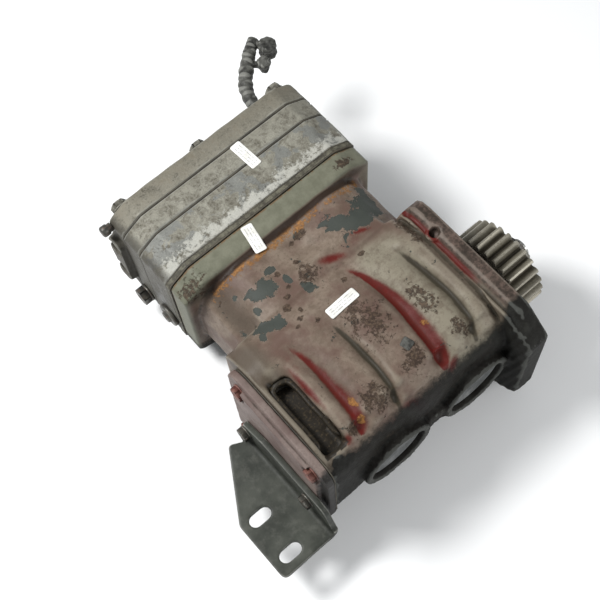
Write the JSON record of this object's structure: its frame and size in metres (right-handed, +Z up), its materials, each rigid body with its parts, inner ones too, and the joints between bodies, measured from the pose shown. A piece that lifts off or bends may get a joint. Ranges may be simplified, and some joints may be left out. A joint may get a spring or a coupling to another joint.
{
  "type": "reciprocating air compressor",
  "caption": "Gear-driven reciprocating air compressor with ribbed crankcase, layered head, drive flange, rear cover and slotted bracket, lying on its side.",
  "frame": {"origin": "centre of the bounding box's bottom face, on the surface the machine lies on", "axes": "+X along the crankshaft towards the drive gear, +Y along the cylinders towards the head, +Z up, the side that faces up as it lies"},
  "size_m": [0.385, 0.4402, 0.168],
  "materials": {
    "cast_iron_paint": "worn taupe paint over red, rusted and chipped",
    "cover_paint": "worn pinkish paint, greasy",
    "cast_aluminium": "weathered, white oxide and grime",
    "machined_steel": "oily machined steel",
    "dark_steel": "greasy dark steel",
    "bracket_paint": "olive grey paint, scuffed",
    "gasket_paper": "compressed sheet gasket",
    "seal_rubber": "oil seal rubber",
    "bearing_bronze": "bearing bronze"
  },
  "bodies": {
    "housing": {"block_gasket": "gasket_paper", "bracket_bolt_1": "dark_steel", "bracket_bolt_2": "dark_steel", "breather_knob": "dark_steel", "coolant_cap": "machined_steel", "core_plug_1": "dark_steel", "core_plug_2": "dark_steel", "cover_gasket": "gasket_paper", "crankcase": "cast_iron_paint", "cylinder_head": "cast_aluminium", "discharge_reed_1": "machined_steel", "discharge_reed_2": "machined_steel", "front_bearing": "bearing_bronze", "head_bolt_1": "dark_steel", "head_bolt_2": "dark_steel", "head_bolt_3": "dark_steel", "head_bolt_4": "dark_steel", "head_bolt_5": "dark_steel", "head_bolt_6": "dark_steel", "head_cover": "cast_aluminium", "head_gasket": "gasket_paper", "intermediate_plate": "cast_aluminium", "mounting_bracket": "bracket_paint", "pipe_union": "dark_steel", "plate_gasket": "gasket_paper", "port_plug": "dark_steel", "rear_bearing": "bearing_bronze", "rear_bolt_1": "dark_steel", "rear_bolt_2": "dark_steel", "rear_bolt_3": "dark_steel", "rear_bolt_4": "dark_steel", "rear_cover": "cover_paint", "rear_cover_gasket": "gasket_paper", "shaft_seal": "seal_rubber", "suction_reed_1": "machined_steel", "suction_reed_2": "machined_steel", "union_bolt": "dark_steel", "unloader_pipe": "dark_steel", "valve_plate": "bracket_paint"},
    "crankshaft": {"crankshaft": "machined_steel", "drive_gear": "machined_steel", "gear_key": "dark_steel", "gear_washer": "dark_steel", "gear_nut": "dark_steel"},
    "rod_1": {"rod_1": "machined_steel", "rod_cap_1": "machined_steel", "rod_bolt_1_left": "dark_steel", "rod_bolt_1_right": "dark_steel"},
    "crank_oil_plug_1": {"crank_oil_plug_1": "dark_steel"},
    "piston_1": {"piston_1": "cast_aluminium", "wrist_pin_1": "machined_steel", "piston_ring_1": "dark_steel"},
    "rod_2": {"rod_2": "machined_steel", "rod_cap_2": "machined_steel", "rod_bolt_2_left": "dark_steel", "rod_bolt_2_right": "dark_steel"},
    "crank_oil_plug_2": {"crank_oil_plug_2": "dark_steel"},
    "piston_2": {"piston_2": "cast_aluminium", "wrist_pin_2": "machined_steel", "piston_ring_2": "dark_steel"}
  },
  "joints": [
    {"name": "crank_turn", "type": "hinge", "parent": "housing", "child": "crankshaft", "pos_m": [0.00845, -0.12512, 0.084], "axis": [1, 0, 0], "continuous": true},
    {"name": "rod_1_turn", "type": "hinge", "parent": "crankshaft", "child": "rod_1", "pos_m": [-0.04105, -0.10012, 0.084], "axis": [1, 0, 0], "continuous": true},
    {"name": "oil_plug_1_turn", "type": "hinge", "parent": "crankshaft", "child": "crank_oil_plug_1", "pos_m": [-0.10655, -0.11262, 0.084], "axis": [1, 0, 0], "continuous": true},
    {"name": "piston_1_travel", "type": "hinge", "parent": "crank_oil_plug_1", "child": "piston_1", "pos_m": [-0.04105, -0.10012, 0.084], "axis": [1, 0, 0], "continuous": true},
    {"name": "rod_2_turn", "type": "hinge", "parent": "crankshaft", "child": "rod_2", "pos_m": [0.05795, -0.15012, 0.084], "axis": [1, 0, 0], "continuous": true},
    {"name": "oil_plug_2_turn", "type": "hinge", "parent": "crankshaft", "child": "crank_oil_plug_2", "pos_m": [-0.10655, -0.13762, 0.084], "axis": [1, 0, 0], "continuous": true},
    {"name": "piston_2_travel", "type": "hinge", "parent": "crank_oil_plug_2", "child": "piston_2", "pos_m": [0.05795, -0.15012, 0.084], "axis": [1, 0, 0], "continuous": true}
  ],
  "couplings": [
    {"joint": "rod_1_turn", "follows": "crank_turn", "ratio": -1},
    {"joint": "oil_plug_1_turn", "follows": "crank_turn", "ratio": -2},
    {"joint": "piston_1_travel", "follows": "crank_turn", "ratio": 1},
    {"joint": "rod_2_turn", "follows": "crank_turn", "ratio": -1},
    {"joint": "oil_plug_2_turn", "follows": "crank_turn", "ratio": -2},
    {"joint": "piston_2_travel", "follows": "crank_turn", "ratio": 1}
  ]
}
